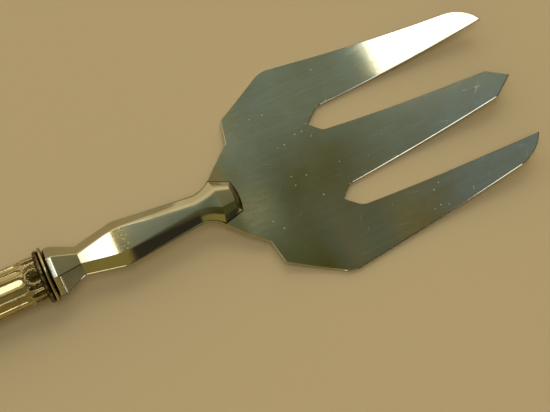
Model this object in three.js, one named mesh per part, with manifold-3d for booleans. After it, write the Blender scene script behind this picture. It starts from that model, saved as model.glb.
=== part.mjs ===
// Three-tined serving fork: stamped steel plate, pressed hollow shank and fluted silver hollow handle.
// Millimetres. +X runs from the butt to the tines, +Y across the fork, +Z up. It lies on a table at z = 0.
import * as THREE from "three";
import { mergeVertices } from "three/addons/utils/BufferGeometryUtils.js";
import Module from "manifold-3d";

const wasm = await Module();
wasm.setup();

// Sheet of the fork plate and its bends, seen from the side
const sheetThickness = 1.5;
const neckBendRadius = 15; // bend downwards under the head
const palmBendRadius = 78; // long hollow sweep from the head to the palm
const palmFlatLength = 11; // flat under the palm that the fork rests on
const tineSweepRadius = 190; // the tines rise towards their points

// Outline of the plate: lengths along the fork, one after another, from the head's rear corners
const rearEdgeLength = 9.8; // head corner to notch
const spurLength = 1.5; // notch to spur
const shoulderLength = 16.7; // spur to shoulder
const tineEdgeLength = 56.4; // shoulder to where the outer tine turns in
const tinePointLength = 8.3; // turn to point
const tineTurnReach = 5.1; // the tine's edge aims this far past the turn
const slotLength = 54.9; // inner slot corners to points
const slotRootDepth = 3.4; // slot corners to the pointed root
const slotOuterSet = 1; // outer slot corner, ahead of the inner one
const middlePointLength = 5.5; // point of the middle tine

// Outline of the plate: half-widths across the fork
const headHalfWidth = 6.7;
const notchHalfWidth = 15.9;
const spurHalfWidth = 23.1;
const shoulderHalfWidth = 33;
const tineTurnHalfWidth = 25.4;
const tinePointHalfWidth = 19;
const slotOuterHalfWidth = 16.3;
const slotRootHalfWidth = 12.35;
const slotInnerHalfWidth = 9.05;
const middleTurnHalfWidth = 4.2;

// Rounding of the plate's corners: how far each one is cut back
const rearEdgeBulge = 0.9;
const spurRound = 0.6;
const shoulderRound = 2.4;
const slotOuterRound = 3.2;
const slotInnerRound = 1.6;
const middleTurnRound = 1.4;

// Shank: lengths from the mouth plate to the head's rear corners
const baseRoundLength = 2.2;
const taperLength = 6.8;
const bellyLength = 11.9;
const neckLength = 23.4;
const flareLength = 6;
const headLength = 5.8;
const headNoseLength = 1.3;
const headBevelLength = 1.5;

// Shank: half-widths of the flange, half-widths of the top facet and heights over the sheet
const mouthHalfWidth = 6.1;
const baseHalfWidth = 7.4;
const waistHalfWidth = 4.4;
const bellyHalfWidth = 6.85;
const neckHalfWidth = 4.1;
const headFrontHalfWidth = 4.7;
const noseHalfWidth = 1.6;
const troughEndHalfWidth = 2.9;
const mouthFacetHalfWidth = 2.5;
const baseFacetHalfWidth = 3.1;
const waistFacetHalfWidth = 1.6;
const bellyFacetHalfWidth = 3.95;
const neckFacetHalfWidth = 2;
const headFacetHalfWidth = 3.7;
const headBevelFacetHalfWidth = 3;
const headFrontFacetHalfWidth = 2.4;
const noseFacetHalfWidth = 0.8;
const troughEndFacetHalfWidth = 1.2;
const mouthHeight = 3.9;
const baseHeight = 4.8;
const waistHeight = 1.9;
const bellyHeight = 3.1;
const neckHeight = 1.5;
const headHeight = 2;
const headFrontHeight = 0.9;
const noseRise = 0.05; // over the rim's land

// Shank: pressed walls
const pressedWall = 1.1;
const ceilingInset = 0.45; // the hollow's ceiling is this much narrower than the top facet, each side
const hollowPastNeck = 3.6;
const troughRunOut = 9; // the pressed lower half runs out under the head
const flangeLip = 0.3; // edge of the sheet left showing beside the cover
const flangeSeat = 1.1; // brazed seat under the cover's edge
const rimLand = 0.25; // upright edge at the foot of each bevel

// Tang
const tangReach = 4; // past the waist into the shank
const tangLength = 55; // inside the handle

// Collar
const mouthPlateThickness = 0.8;
const mouthPlateStand = 1.75; // rim over the handle's front
const mouthPlateRound = 0.25;
const ferruleLength = 1.6;
const ferruleStand = 1.3; // crown of the bead over the handle's front
const ferruleGrooveStand = 0.45; // grooves on both sides of the bead

// Handle
const handleLength = 105;
const handleFrontHalfWidth = 6.6;
const handleFrontHalfHeight = 4.7;
const handleButtHalfWidth = 10;
const handleButtHalfHeight = 7.4;
const buttBeadHeight = 0.4;
const buttBeadLength = 2.6;
const buttDomeLength = 6.5;
const buttBandLength = 3; // plain band between the flutes and the bead
const leafBandLength = 4; // plain band beside the ferrule
const fluteRunOut = 2.2;
const fluteDepth = 0.45;
const silverWall = 0.6;
const handleSwell = 1.5; // how late the handle widens

// Flutes round each half: ribs at these angles from the top, in degrees round the oval
const firstRibAngle = 15.3;
const ribPitch = 21.5;
const ribCount = 4;
const ribHalfAngle = 1.5;

// Fits
const brazeGap = 0.15;
const seamGap = 0.15;
const fillerGap = 0.2;
const tangGap = 0.2;

// How finely the curves are divided
const ovalSides = 36;
const neckBendSteps = 4;
const palmBendSteps = 8;
const tineSweepSteps = 7;
const curveSteps = 4;
const baseRoundSteps = 3;
const troughSteps = 3;
const beadSteps = 6;
const runOutSteps = 2;
const fluteSteps = 4;
const handleSteps = 5;
const domeSteps = 5;
const domeLastAngle = 80;
const weldDistance = 1e-5;

// The handle lies on its bead, and the shank, handle and sheet share one axis at that height
const axisHeight = handleButtHalfHeight + buttBeadHeight;
const palmDrop = axisHeight - sheetThickness / 2;

// Places along the fork, with the head's rear corners at zero
const neckAt = -flareLength;
const bellyAt = neckAt - neckLength;
const waistAt = bellyAt - bellyLength;
const baseAt = waistAt - taperLength;
const mouthAt = baseAt - baseRoundLength;
const notchAt = rearEdgeLength;
const spurAt = notchAt + spurLength;
const shoulderAt = spurAt + shoulderLength;
const tineTurnAt = shoulderAt + tineEdgeLength;
const pointAt = tineTurnAt + tinePointLength;
const slotAt = pointAt - slotLength;
const plateFrontAt = mouthAt - brazeGap;
const plateBackAt = plateFrontAt - mouthPlateThickness;
const ferruleFrontAt = plateBackAt - brazeGap;
const ferruleBackAt = ferruleFrontAt - ferruleLength;
const handleAt = ferruleBackAt - brazeGap;
const buttAt = handleAt - handleLength;
const domeAt = handleLength - buttDomeLength; // along the handle
const skin = silverWall + fluteDepth;
const toolReach = handleLength; // cutting prisms run this far past the middle of the work

// Side line of the sheet: level, bend down, sweep level again, flat palm, rising tines
const bendAngle = Math.acos(1 - palmDrop / (neckBendRadius + palmBendRadius));
const bendTurnAt = neckAt + neckBendRadius * Math.sin(bendAngle);
const palmAt = bendTurnAt + palmBendRadius * Math.sin(bendAngle);
const palmEndAt = palmAt + palmFlatLength;

const degrees = (angle) => (angle * Math.PI) / 180;
const mix = THREE.MathUtils.lerp;
const quarterRound = (share) => Math.sqrt(1 - (1 - share) ** 2);

// Height and slope of the sheet's middle at a place along the fork
function sheetLine(at) {
  if (at <= neckAt) return { height: axisHeight, slope: 0 };
  if (at <= bendTurnAt) {
    const turn = Math.asin((at - neckAt) / neckBendRadius);
    return { height: axisHeight - neckBendRadius * (1 - Math.cos(turn)), slope: -turn };
  }
  if (at <= palmAt) {
    const turn = Math.asin((palmAt - at) / palmBendRadius);
    return { height: sheetThickness / 2 + palmBendRadius * (1 - Math.cos(turn)), slope: -turn };
  }
  if (at <= palmEndAt) return { height: sheetThickness / 2, slope: 0 };
  const turn = Math.asin((at - palmEndAt) / tineSweepRadius);
  return { height: sheetThickness / 2 + tineSweepRadius * (1 - Math.cos(turn)), slope: turn };
}

// Point beside the sheet: across the fork, and off the sheet's middle at right angles to it
function besideSheet(at, across, off) {
  const { height, slope } = sheetLine(at);
  return new THREE.Vector3(at - off * Math.sin(slope), across, height + off * Math.cos(slope));
}

function spread(from, to, steps) {
  return Array.from({ length: steps }, (_, i) => mix(from, to, (i + 1) / steps));
}

// Closed skin over a row of rings that have the same number of points, with both ends capped
function loft(rings) {
  const sides = rings[0].length;
  const points = rings.flat();
  const triangles = [];
  for (let r = 0; r + 1 < rings.length; r++) {
    for (let i = 0; i < sides; i++) {
      const a = r * sides + i;
      const b = r * sides + ((i + 1) % sides);
      triangles.push(a, b, b + sides, a, b + sides, a + sides);
    }
  }
  for (const end of [0, rings.length - 1]) {
    const middle = new THREE.Vector3();
    rings[end].forEach((point) => middle.addScaledVector(point, 1 / sides));
    const centre = points.push(middle) - 1;
    for (let i = 0; i < sides; i++) {
      const a = end * sides + i;
      const b = end * sides + ((i + 1) % sides);
      triangles.push(...(end === 0 ? [b, a, centre] : [a, b, centre]));
    }
  }
  return faceOut(new THREE.BufferGeometry().setFromPoints(points).setIndex(triangles));
}

// Turns a closed skin's faces outwards
function faceOut(geometry) {
  const position = geometry.getAttribute("position");
  const order = geometry.getIndex();
  const corner = (i) => new THREE.Vector3().fromBufferAttribute(position, order.getX(i));
  let volume = 0;
  for (let i = 0; i < order.count; i += 3) {
    volume += corner(i).dot(corner(i + 1).cross(corner(i + 2)));
  }
  if (volume < 0) geometry.setIndex(Array.from(order.array).reverse());
  return geometry;
}

function toSolid(geometry) {
  const bare = new THREE.BufferGeometry().setAttribute("position", geometry.getAttribute("position"));
  if (geometry.getIndex()) bare.setIndex(geometry.getIndex());
  const merged = mergeVertices(bare, weldDistance);
  const mesh = new wasm.Mesh({
    numProp: 3,
    vertProperties: new Float32Array(merged.getAttribute("position").array),
    triVerts: new Uint32Array(merged.getIndex().array),
  });
  return new wasm.Manifold(mesh);
}

function toGeometry(solid) {
  const mesh = solid.getMesh();
  const geometry = new THREE.BufferGeometry();
  geometry.setAttribute("position", new THREE.BufferAttribute(new Float32Array(mesh.vertProperties), 3));
  geometry.setIndex(new THREE.BufferAttribute(new Uint32Array(mesh.triVerts), 1));
  geometry.computeVertexNormals();
  return geometry;
}

const cut = (body, ...tools) => tools.reduce((rest, tool) => rest.subtract(toSolid(tool)), body);

// Runs a path through corners of [along, across, cutback], rounding those with a cutback
function roundCorners(path, corners) {
  corners.forEach(([x, y, cutback], i) => {
    if (!cutback) {
      path.lineTo(x, y);
      return;
    }
    const corner = new THREE.Vector2(x, y);
    const toward = ([nx, ny]) => new THREE.Vector2(nx, ny).sub(corner).setLength(cutback).add(corner);
    const start = toward(corners[i - 1]);
    const end = toward(corners[i + 1]);
    path.lineTo(start.x, start.y);
    path.quadraticCurveTo(x, y, end.x, end.y);
  });
}

// One side of the plate, from the mouth of the shank to the middle tine's point
function plateSide(side) {
  const path = new THREE.Path();
  path.moveTo(mouthAt, side * mouthHalfWidth);
  [...shankStations, ...flareStations].forEach(([at, foot]) => path.lineTo(at, side * foot));
  const rearAngle = Math.atan(rearSlope);
  const bulgeAt = notchAt / 2 - rearEdgeBulge * Math.sin(rearAngle);
  const bulgeHalfWidth = (headHalfWidth + notchHalfWidth) / 2 + rearEdgeBulge * Math.cos(rearAngle);
  path.quadraticCurveTo(bulgeAt, side * bulgeHalfWidth, notchAt, side * notchHalfWidth);
  roundCorners(path, [
    [notchAt, side * notchHalfWidth, 0],
    [spurAt, side * spurHalfWidth, spurRound],
    [shoulderAt, side * shoulderHalfWidth, shoulderRound],
    [tineTurnAt, side * tineTurnHalfWidth, 0],
  ]);
  const edgeSlope = (tineTurnHalfWidth - shoulderHalfWidth) / tineEdgeLength;
  path.quadraticCurveTo(
    tineTurnAt + tineTurnReach,
    side * (tineTurnHalfWidth + edgeSlope * tineTurnReach),
    pointAt,
    side * tinePointHalfWidth,
  );
  roundCorners(path, [
    [pointAt, side * tinePointHalfWidth, 0],
    [slotAt + slotOuterSet, side * slotOuterHalfWidth, slotOuterRound],
    [slotAt - slotRootDepth, side * slotRootHalfWidth, 0],
    [slotAt, side * slotInnerHalfWidth, slotInnerRound],
    [pointAt - middlePointLength, side * middleTurnHalfWidth, middleTurnRound],
    [pointAt, 0, 0],
  ]);
  return path.getPoints(curveSteps);
}

// Plate outline as an upright prism
function platePrism() {
  const upper = plateSide(1);
  const lower = plateSide(-1).reverse();
  const outline = new THREE.Shape([...upper, ...lower.slice(1)]);
  const prism = new THREE.ExtrudeGeometry(outline, { depth: 2 * toolReach, bevelEnabled: false });
  return prism.translate(0, 0, -toolReach);
}

// Bent sheet seen from the side, wider than the plate, thickened all round by a margin
function bentSheet(margin) {
  const places = [
    mouthAt - margin,
    neckAt,
    ...spread(neckAt, bendTurnAt, neckBendSteps),
    ...spread(bendTurnAt, palmAt, palmBendSteps),
    palmEndAt,
    ...spread(palmEndAt, pointAt, tineSweepSteps),
  ];
  const edge = (off) =>
    places.map((at) => {
      const { x, z } = besideSheet(at, 0, off);
      return new THREE.Vector2(x, z);
    });
  const top = edge(sheetThickness / 2 + margin);
  const bottom = edge(-sheetThickness / 2 - margin).reverse();
  const section = new THREE.Shape([...top, ...bottom]);
  const sheet = new THREE.ExtrudeGeometry(section, { depth: 2 * toolReach, bevelEnabled: false });
  return sheet.rotateX(Math.PI / 2).translate(0, toolReach, 0);
}

// Stations of the pressed shank: place, half-width of its foot, half-width of its top facet, height
function baseStation(share) {
  const swell = quarterRound(share);
  return [
    mix(mouthAt, baseAt, share),
    mix(mouthHalfWidth, baseHalfWidth, swell),
    mix(mouthFacetHalfWidth, baseFacetHalfWidth, swell),
    mix(mouthHeight, baseHeight, swell),
  ];
}
const shankStations = [
  ...[0, ...spread(0, 1, baseRoundSteps)].map(baseStation),
  [waistAt, waistHalfWidth, waistFacetHalfWidth, waistHeight],
  [bellyAt, bellyHalfWidth, bellyFacetHalfWidth, bellyHeight],
  [neckAt, neckHalfWidth, neckFacetHalfWidth, neckHeight],
];

// The flare leaves the neck straight and runs out in line with the plate's rear edge
const rearSlope = (notchHalfWidth - headHalfWidth) / rearEdgeLength;
const flareTurnAt = -(headHalfWidth - neckHalfWidth) / rearSlope;
const flare = new THREE.QuadraticBezierCurve(
  new THREE.Vector2(neckAt, 0),
  new THREE.Vector2(flareTurnAt, 0),
  new THREE.Vector2(0, 1),
);
const flareStations = flare.getPoints(curveSteps).slice(1).map(({ x, y }) => [
  x,
  mix(neckHalfWidth, headHalfWidth, y),
  mix(neckFacetHalfWidth, headFacetHalfWidth, y),
  mix(neckHeight, headHeight, y),
]);

// Front of the head: a flat top, a bevel and a low nose lying on the plate
const headBevelAt = headLength - headBevelLength;
const headFrontStations = [
  [
    headBevelAt,
    mix(headHalfWidth, headFrontHalfWidth, headBevelAt / headLength),
    headBevelFacetHalfWidth,
    headHeight,
  ],
  [headLength, headFrontHalfWidth, headFrontFacetHalfWidth, headFrontHeight],
  [headLength + headNoseLength, noseHalfWidth, noseFacetHalfWidth, rimLand + noseRise],
];

// The pressed lower half runs out under the head instead of lapping over the plate
const troughEndStations = spread(0, 1, troughSteps).map((share) => [
  neckAt + troughRunOut * share,
  mix(neckHalfWidth, troughEndHalfWidth, share),
  mix(neckFacetHalfWidth, troughEndFacetHalfWidth, share),
  mix(neckHeight, rimLand, share),
]);

// Faceted ring over the sheet: foot inside the sheet, upright rim, bevels and a flat top facet
function facetRing([at, foot, facet, height], side) {
  const base = sheetThickness / 2;
  const land = base + rimLand;
  const corners = [
    [-foot, 0],
    [-foot, land],
    [-facet, base + height],
    [facet, base + height],
    [foot, land],
    [foot, 0],
  ];
  return corners.map(([across, off]) => besideSheet(at, across, side * off));
}

// Hollow under the facets, open towards the sheet and through it
function hollowRing([at, foot, facet, height], side) {
  const base = sheetThickness / 2;
  const opening = foot - flangeLip - flangeSeat;
  const ceiling = base + height - pressedWall;
  const corners = [
    [-opening, -sheetThickness],
    [-opening, base],
    [-facet + ceilingInset, ceiling],
    [facet - ceilingInset, ceiling],
    [opening, base],
    [opening, -sheetThickness],
  ];
  return corners.map(([across, off]) => besideSheet(at, across, side * off));
}

// Hollow of the shank from its open mouth to just past the neck
function shankHollow(side) {
  const [mouth, ...rest] = shankStations;
  const open = [mouthAt - pressedWall, ...mouth.slice(1)];
  const end = [neckAt + hollowPastNeck, ...shankStations.at(-1).slice(1)];
  return loft([open, mouth, ...rest, end].map((station) => hollowRing(station, side)));
}

const insideLip = ([at, foot, ...rest]) => [at, foot - flangeLip, ...rest];

function forkPlate() {
  const trough = [...shankStations.map(insideLip), ...troughEndStations];
  const sheet = toSolid(bentSheet(0)).intersect(toSolid(platePrism()));
  const pressed = sheet.add(toSolid(loft(trough.map((station) => facetRing(station, -1)))));
  return toGeometry(cut(pressed, shankHollow(-1)));
}

function shankCover() {
  const stations = [...shankStations, ...flareStations, ...headFrontStations].map(insideLip);
  const body = toSolid(loft(stations.map((station) => facetRing(station, 1))));
  return toGeometry(cut(body, bentSheet(brazeGap), shankHollow(1)));
}

// Bar from inside the waist, where it just clears the hollow, to the middle of the handle
const tangHalfWidth = waistFacetHalfWidth - ceilingInset;
const tangHalfHeight = sheetThickness / 2 + waistHeight - pressedWall - tangGap;
const tangFrontAt = waistAt + tangReach;
const tangBackAt = handleAt - tangLength;

function tangBar(extra) {
  const length = tangFrontAt - tangBackAt + 2 * extra;
  const bar = new THREE.BoxGeometry(length, 2 * (tangHalfWidth + extra), 2 * (tangHalfHeight + extra));
  return bar.translate((tangFrontAt + tangBackAt) / 2, 0, axisHeight);
}

// Oval ring standing off the handle's front section
function collarRing(at, stand) {
  return Array.from({ length: ovalSides }, (_, i) => {
    const angle = (2 * Math.PI * i) / ovalSides;
    const across = (handleFrontHalfWidth + stand) * Math.cos(angle);
    const up = (handleFrontHalfHeight + stand) * Math.sin(angle);
    return new THREE.Vector3(at, across, axisHeight + up);
  });
}

function mouthPlate() {
  const disc = loft([
    collarRing(plateBackAt, mouthPlateStand - mouthPlateRound),
    collarRing(plateBackAt + mouthPlateRound, mouthPlateStand),
    collarRing(plateFrontAt - mouthPlateRound, mouthPlateStand),
    collarRing(plateFrontAt, mouthPlateStand - mouthPlateRound),
  ]);
  return toGeometry(cut(toSolid(disc), tangBar(tangGap)));
}

// Half-round bead between two grooves, bored to the handle's hollow
function ferrule() {
  const rings = [0, ...spread(0, 180, beadSteps)].map((angle) => {
    const share = (1 - Math.cos(degrees(angle))) / 2;
    const stand = mix(ferruleGrooveStand, ferruleStand, Math.sin(degrees(angle)));
    return collarRing(mix(ferruleBackAt, ferruleFrontAt, share), stand);
  });
  const bore = loft([collarRing(ferruleBackAt - skin, -skin), collarRing(ferruleFrontAt + skin, -skin)]);
  return toGeometry(cut(toSolid(loft(rings)), bore));
}

// Half-width and half-height of the handle before its dome
function handleSize(along) {
  const share = Math.min(along / (domeAt - buttBeadLength), 1) ** handleSwell;
  return {
    wide: mix(handleFrontHalfWidth, handleButtHalfWidth, share),
    tall: mix(handleFrontHalfHeight, handleButtHalfHeight, share),
  };
}

// Angles round one half from seam to seam, each with its share of the flute's depth
function fluteAngles() {
  const ribs = Array.from({ length: ribCount }, (_, i) => firstRibAngle + i * ribPitch);
  const edges = [...ribs.map((rib) => -rib).reverse(), ...ribs];
  const angles = [{ angle: -90, share: 0 }];
  edges.slice(1).forEach((right, i) => {
    const start = edges[i] + ribHalfAngle;
    const end = right - ribHalfAngle;
    for (let step = 0; step <= fluteSteps; step++) {
      const share = step / fluteSteps;
      angles.push({ angle: mix(start, end, share), share: Math.sin(Math.PI * share) });
    }
  });
  return [...angles, { angle: 90, share: 0 }];
}

// Section of one half at a distance along the handle, with its seam held off the other half
function halfRing(along, stand, depth, shrink, side) {
  const { wide, tall } = handleSize(along);
  return fluteAngles().map(({ angle, share }) => {
    const across = (wide + stand - depth * share) * shrink * Math.sin(degrees(angle));
    const up = (tall + stand - depth * share) * shrink * Math.cos(degrees(angle));
    const lift = Math.max(up, seamGap / 2);
    return new THREE.Vector3(handleAt - along, across, axisHeight + side * lift);
  });
}

// Inside of the handle as an oval, drawn in from the outside by a margin, from one place to the butt
function handleCore(fromAt, margin) {
  const oval = (along, wide, tall) =>
    Array.from({ length: ovalSides }, (_, i) => {
      const angle = (2 * Math.PI * i) / ovalSides;
      return new THREE.Vector3(handleAt - along, wide * Math.cos(angle), axisHeight + tall * Math.sin(angle));
    });
  const plain = [fromAt, ...spread(0, domeAt, handleSteps)].map((along) => {
    const { wide, tall } = handleSize(Math.max(along, 0));
    return oval(along, wide - margin, tall - margin);
  });
  const { wide, tall } = handleSize(domeAt);
  const dome = spread(0, domeLastAngle, domeSteps).map((angle) => {
    const along = domeAt + (buttDomeLength - margin) * Math.sin(degrees(angle));
    const shrink = Math.cos(degrees(angle));
    return oval(along, (wide - margin) * shrink, (tall - margin) * shrink);
  });
  return loft([...plain, ...dome]);
}

// One silver stamping: plain leaf band, flutes, plain band, bead and domed butt
function handleHalf(side) {
  const fluteStart = leafBandLength;
  const beadMiddle = domeAt - buttBeadLength / 2;
  const fluteEnd = domeAt - buttBeadLength - buttBandLength;
  const runOut = [0, ...spread(0, 1, runOutSteps)];
  const rings = [halfRing(0, 0, 0, 1, side)];
  for (const share of runOut) {
    rings.push(halfRing(fluteStart + fluteRunOut * share, 0, fluteDepth * quarterRound(share), 1, side));
  }
  for (const place of spread(fluteStart + fluteRunOut, fluteEnd - fluteRunOut, handleSteps)) {
    rings.push(halfRing(place, 0, fluteDepth, 1, side));
  }
  for (const share of runOut.slice(0, -1).reverse()) {
    rings.push(halfRing(fluteEnd - fluteRunOut * share, 0, fluteDepth * quarterRound(share), 1, side));
  }
  for (const angle of [0, ...spread(0, 180, beadSteps)]) {
    const place = beadMiddle - (buttBeadLength / 2) * Math.cos(degrees(angle));
    rings.push(halfRing(place, buttBeadHeight * Math.sin(degrees(angle)), 0, 1, side));
  }
  for (const angle of spread(0, domeLastAngle, domeSteps)) {
    const reach = Math.sin(degrees(angle)) / Math.sin(degrees(domeLastAngle));
    rings.push(halfRing(domeAt + buttDomeLength * reach, 0, 0, Math.cos(degrees(angle)), side));
  }
  return toGeometry(cut(toSolid(loft(rings)), handleCore(-skin, skin)));
}

// Set resin from the mouth plate to the butt, bored for the tang
function handleFiller() {
  const margin = skin + fillerGap;
  const front = handleAt - plateBackAt + fillerGap;
  return toGeometry(cut(toSolid(handleCore(front, margin)), tangBar(tangGap)));
}

const fork = new THREE.Group();
// The middle of the whole length stands at x = 0
fork.position.x = -(pointAt + buttAt) / 2;

function addPiece(name, geometry, color, roughness, metalness) {
  const piece = new THREE.Mesh(geometry, new THREE.MeshStandardMaterial({ color, roughness, metalness }));
  piece.name = name;
  fork.add(piece);
}

addPiece("fork_plate", forkPlate(), 0x7d8578, 0.35, 1);
addPiece("shank_cover", shankCover(), 0x8c8f80, 0.15, 1);
addPiece("tang", tangBar(0), 0x77797a, 0.5, 1);
addPiece("mouth_plate", mouthPlate(), 0xcfc9b4, 0.2, 1);
addPiece("ferrule", ferrule(), 0xa79f86, 0.25, 1);
addPiece("handle_upper_half", handleHalf(1), 0xc9c2aa, 0.2, 1);
addPiece("handle_lower_half", handleHalf(-1), 0xc9c2aa, 0.2, 1);
addPiece("handle_filler", handleFiller(), 0x4a3f35, 0.8, 0);

export default fork;
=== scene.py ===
import bmesh
import bpy
import math
from mathutils import Matrix, Vector


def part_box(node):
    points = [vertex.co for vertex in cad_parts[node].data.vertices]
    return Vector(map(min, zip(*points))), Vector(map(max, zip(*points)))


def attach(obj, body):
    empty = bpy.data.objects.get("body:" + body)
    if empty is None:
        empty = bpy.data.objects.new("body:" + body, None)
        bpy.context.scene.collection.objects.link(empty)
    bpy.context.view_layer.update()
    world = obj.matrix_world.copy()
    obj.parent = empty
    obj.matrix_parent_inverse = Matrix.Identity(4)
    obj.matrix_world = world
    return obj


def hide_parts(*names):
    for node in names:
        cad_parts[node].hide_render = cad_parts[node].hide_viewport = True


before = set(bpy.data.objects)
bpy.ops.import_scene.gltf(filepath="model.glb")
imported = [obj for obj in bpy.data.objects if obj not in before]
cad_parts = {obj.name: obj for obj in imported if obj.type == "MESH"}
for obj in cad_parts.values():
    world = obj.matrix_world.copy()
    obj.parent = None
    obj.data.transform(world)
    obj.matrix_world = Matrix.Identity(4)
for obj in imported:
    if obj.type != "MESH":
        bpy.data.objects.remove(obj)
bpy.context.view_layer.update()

mm = 0.001  # the dictionaries are in millimetres, the finished meshes in metres
weld = 0.001  # points nearer to each other than this, in millimetres, become one
onCut = 0.0001  # points nearer to a cut than this lie on it
nodeLow = {name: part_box(name)[0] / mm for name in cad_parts}
nodeHigh = {name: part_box(name)[1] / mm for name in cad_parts}
axisHeight = (nodeLow["handle_lower_half"].z + nodeHigh["handle_upper_half"].z) / 2
print("frame loaded, axis height", round(axisHeight, 3), "mm")


# ways of making a piece

def mix(low, high, share):
    return low + (high - low) * share


def spread(low, high, steps):
    return [mix(low, high, (step + 1) / steps) for step in range(steps)]


def quarterRound(share):
    return math.sqrt(max(0, 1 - (1 - share) ** 2))


def bump(value, middle, half):
    return math.exp(-((value - middle) / half) ** 2)


def allOf(bm):
    return bm.verts[:] + bm.edges[:] + bm.faces[:]


def finishPiece(bm, name, material, node, sharpAngle):
    bmesh.ops.remove_doubles(bm, verts=bm.verts, dist=weld)
    bmesh.ops.recalc_face_normals(bm, faces=bm.faces)
    bmesh.ops.translate(bm, vec=(headX, 0, 0), verts=bm.verts)
    bmesh.ops.scale(bm, vec=(mm, mm, mm), verts=bm.verts)
    mesh = bpy.data.meshes.new(name)
    bm.to_mesh(mesh)
    bm.free()
    mesh.materials.append(material)
    mesh.shade_smooth()
    piece = bpy.data.objects.new(name, mesh)
    bpy.context.scene.collection.objects.link(piece)
    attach(piece, "root")
    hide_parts(node)
    evenNormals(piece, sharpAngle)
    print(name, "made with", len(mesh.polygons), "faces")


def evenNormals(piece, sharpAngle):
    piece.data.set_sharp_from_angle(angle=math.radians(sharpAngle))
    even = piece.modifiers.new("evenNormals", "WEIGHTED_NORMAL")
    even.keep_sharp = True
    even.weight = 60


def joinLoops(bm, loops):
    # loops of edges are bridged one to the next, and both ends are closed
    for first, second in zip(loops, loops[1:]):
        bmesh.ops.bridge_loops(bm, edges=first + second)
    for end in (loops[0], loops[-1]):
        bmesh.ops.contextual_create(bm, geom=end)


def loftRings(bm, rings):
    # gives back the lanes: each corner of the rings, from end to end
    corners = [[bm.verts.new(point) for point in ring] for ring in rings]
    joinLoops(bm, [[bm.edges.new((ring[i - 1], ring[i])) for i in range(len(ring))] for ring in corners])
    return list(zip(*corners))


def ovalLoop(bm, at, wide, tall, sides):
    place = Matrix.Translation((at, 0, axisHeight))
    upright = Matrix.Diagonal((1, wide, tall, 1)) @ Matrix.Rotation(math.pi / 2, 4, "Y")
    made = bmesh.ops.create_circle(bm, radius=1, segments=sides, matrix=place @ upright)
    return list({edge for vert in made["verts"] for edge in vert.link_edges})


def loftOvals(bm, ovals, sides):
    # an oval is (place, half-width, half-height)
    joinLoops(bm, [ovalLoop(bm, at, wide, tall, sides) for at, wide, tall in ovals])


# shader helpers

noiseSpan = (0.3, 0.7)  # most of a noise pattern lies between these


def addNode(tree, kind, inputs=None, **settings):
    made = tree.nodes.new("ShaderNode" + kind)
    for name, value in settings.items():
        setattr(made, name, value)
    for name, value in (inputs or {}).items():
        if isinstance(value, bpy.types.NodeSocket):
            tree.links.new(value, made.inputs[name])
        else:
            made.inputs[name].default_value = value
    return made


def maths(tree, operation, first, second):
    return addNode(tree, "Math", {0: first, 1: second}, operation=operation).outputs[0]


def scaled(tree, value, share):
    return maths(tree, "MULTIPLY", value, share)


def weighted(tree, first, firstShare, second, secondShare):
    return maths(tree, "ADD", scaled(tree, first, firstShare), scaled(tree, second, secondShare))


def remap(tree, value, fromLow, fromHigh, toLow=0.0, toHigh=1.0):
    limits = {"Value": value, 1: fromLow, 2: fromHigh, 3: toLow, 4: toHigh}
    return addNode(tree, "MapRange", limits).outputs[0]


def noise(tree, place, scale, detail, roughness=0.5):
    given = {"Vector": place, "Scale": scale, "Detail": detail, "Roughness": roughness}
    return addNode(tree, "TexNoise", given).outputs[0]


def blendColour(tree, share, first, second):
    return addNode(tree, "Mix", {0: share, 6: first, 7: second}, data_type="RGBA").outputs[2]


def ownAttribute(tree, name):
    return addNode(tree, "Attribute", attribute_name=name).outputs["Fac"]


def paintedGlintDots(tree, place, scale, size, rare):
    # small round specks, in a share of the cells of a random pattern; the finishes use them as painted
    # glints
    core = 0.55 * size  # a speck fades from here to its edge
    cells = addNode(tree, "TexVoronoi", {"Vector": place, "Scale": scale}, voronoi_dimensions="2D")
    dots = remap(tree, cells.outputs["Distance"], size, core)
    draw = addNode(tree, "SeparateColor", {0: cells.outputs["Color"]}).outputs[0]
    return maths(tree, "MULTIPLY", dots, maths(tree, "GREATER_THAN", draw, rare))


def setBump(tree, shader, height, strength, distance):
    raised = addNode(tree, "Bump", {"Height": height, "Strength": strength, "Distance": distance})
    tree.links.new(raised.outputs[0], shader["Normal"])


# effects that several finishes share

def effect(name, inputs, outputs):
    tree = bpy.data.node_groups.new(name, "ShaderNodeTree")
    for label, kind, value in inputs:
        socket = tree.interface.new_socket(label, in_out="INPUT", socket_type="NodeSocket" + kind)
        if value is not None:
            socket.default_value = value
    for label, kind in outputs:
        tree.interface.new_socket(label, in_out="OUTPUT", socket_type="NodeSocket" + kind)
    entry = tree.nodes.new("NodeGroupInput")
    leave = tree.nodes.new("NodeGroupOutput")
    return tree, entry.outputs, leave.inputs


def useEffect(tree, group, inputs):
    return addNode(tree, "Group", inputs, node_tree=group).outputs[0]


def drawnGrainEffect():
    # fine lines along the fork, left by rolling and brushing
    tree, given, result = effect(
        "drawnGrain",
        [("Vector", "Vector", None), ("Along", "Float", 60.0), ("Across", "Float", 4000.0)],
        [("Grain", "Float")],
    )
    pull = addNode(tree, "CombineXYZ", {0: given["Along"], 1: given["Across"], 2: given["Across"]})
    place = addNode(tree, "VectorMath", {0: given["Vector"], 1: pull.outputs[0]}, operation="MULTIPLY")
    tree.links.new(noise(tree, place.outputs[0], scale=1.0, detail=3.0), result["Grain"])
    return tree


scratchLook = {
    "along": 90.0,  # patterns to the metre, along a scratch and through the sheet
    "through": 200.0,
    "soft": 0.06,  # edge of a scratch
    "patches": {"scale": 130.0, "detail": 2.0},
    "shown": (0.48, 0.62),
}


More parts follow.
